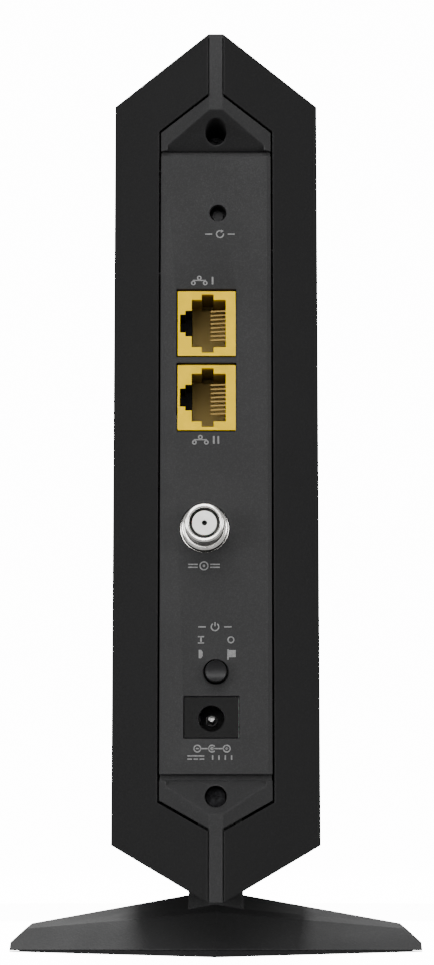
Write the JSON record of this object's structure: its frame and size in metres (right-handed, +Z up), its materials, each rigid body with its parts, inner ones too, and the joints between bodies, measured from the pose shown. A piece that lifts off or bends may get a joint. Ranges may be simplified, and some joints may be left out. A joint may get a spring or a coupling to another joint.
{
  "type": "wireless router",
  "caption": "Tall narrow dark grey cable modem router on a faceted wing stand, with network jacks, coaxial connector, power inlet and push buttons.",
  "frame": {"origin": "on the desk surface, under the middle of the overall box", "axes": "+Z up, the connector panel faces +Y, the lamp strip faces -Y"},
  "size_m": [0.104, 0.128, 0.2233],
  "materials": {
    "cover_plastic": "fine satin texture",
    "frame_plastic": "fine matt texture",
    "base_plastic": "matt",
    "window_plastic": "smoked gloss",
    "clear_plastic": "clear",
    "screw_steel": "zinc plated",
    "foot_rubber": "matt",
    "label_paper": "satin",
    "board_laminate": "solder mask",
    "jack_plastic": "satin",
    "gold_plate": "bright",
    "nickel_plate": "bright nickel",
    "coax_plastic": "white",
    "package_plastic": "matt",
    "plunger_plastic": "satin",
    "lamp_resin": "clear",
    "pad_silicone": "matt",
    "sink_aluminium": "extruded",
    "pin_plastic": "satin",
    "can_tin": "tinned",
    "sleeve_plastic": "shrink sleeve",
    "chip_ceramic": "matt"
  },
  "bodies": {
    "router": {"left_cover": "cover_plastic", "right_cover": "cover_plastic", "rear_frame": "frame_plastic", "front_frame": "frame_plastic", "io_panel": "frame_plastic", "led_window": "window_plastic", "light_pipe": "clear_plastic", "case_screws": "screw_steel", "stand": "frame_plastic", "stand_base": "base_plastic", "stand_feet": "foot_rubber", "stand_screws": "screw_steel", "rating_label": "label_paper", "main_board": "board_laminate", "board_screws": "screw_steel", "lan_jack_1": "jack_plastic", "lan_jack_2": "jack_plastic", "lan_contacts_1": "gold_plate", "lan_contacts_2": "gold_plate", "lan_transformers": "package_plastic", "coax_shell": "nickel_plate", "coax_insulator": "coax_plastic", "coax_contact": "gold_plate", "dc_jack": "base_plastic", "dc_pin": "nickel_plate", "dc_spring": "nickel_plate", "power_switch": "package_plastic", "reset_switch": "package_plastic", "sync_switch": "package_plastic", "radio_switch": "package_plastic", "leds": "lamp_resin", "modem_chip": "package_plastic", "thermal_pad": "pad_silicone", "heatsink": "sink_aluminium", "heatsink_pins": "pin_plastic", "memory_chips": "package_plastic", "flash_chip": "package_plastic", "wifi_chips": "package_plastic", "wifi_shields": "can_tin", "tuner_shield": "can_tin", "capacitors": "sleeve_plastic", "inductors": "package_plastic", "crystals": "can_tin", "antennas": "gold_plate", "small_parts": "chip_ceramic"},
    "power_key": {"power_button": "base_plastic", "power_plunger": "plunger_plastic"},
    "reset_key": {"reset_plunger": "plunger_plastic"},
    "sync_key": {"sync_button": "frame_plastic", "sync_plunger": "plunger_plastic"},
    "radio_key": {"radio_button": "frame_plastic", "radio_plunger": "plunger_plastic"}
  },
  "joints": [
    {"name": "power_press", "type": "slide", "parent": "router", "child": "power_key", "axis": [0, -1, 0], "range_m": [0, 0.0022], "stiffness_N_per_m": 300, "springref_m": -0.003},
    {"name": "reset_press", "type": "slide", "parent": "router", "child": "reset_key", "axis": [0, -1, 0], "range_m": [0, 0.0003], "stiffness_N_per_m": 2000, "springref_m": -0.0003},
    {"name": "sync_press", "type": "slide", "parent": "router", "child": "sync_key", "axis": [0, 1, 0], "range_m": [0, 0.0005], "stiffness_N_per_m": 1500, "springref_m": -0.0004},
    {"name": "radio_press", "type": "slide", "parent": "router", "child": "radio_key", "axis": [0, 1, 0], "range_m": [0, 0.0005], "stiffness_N_per_m": 1500, "springref_m": -0.0004}
  ]
}
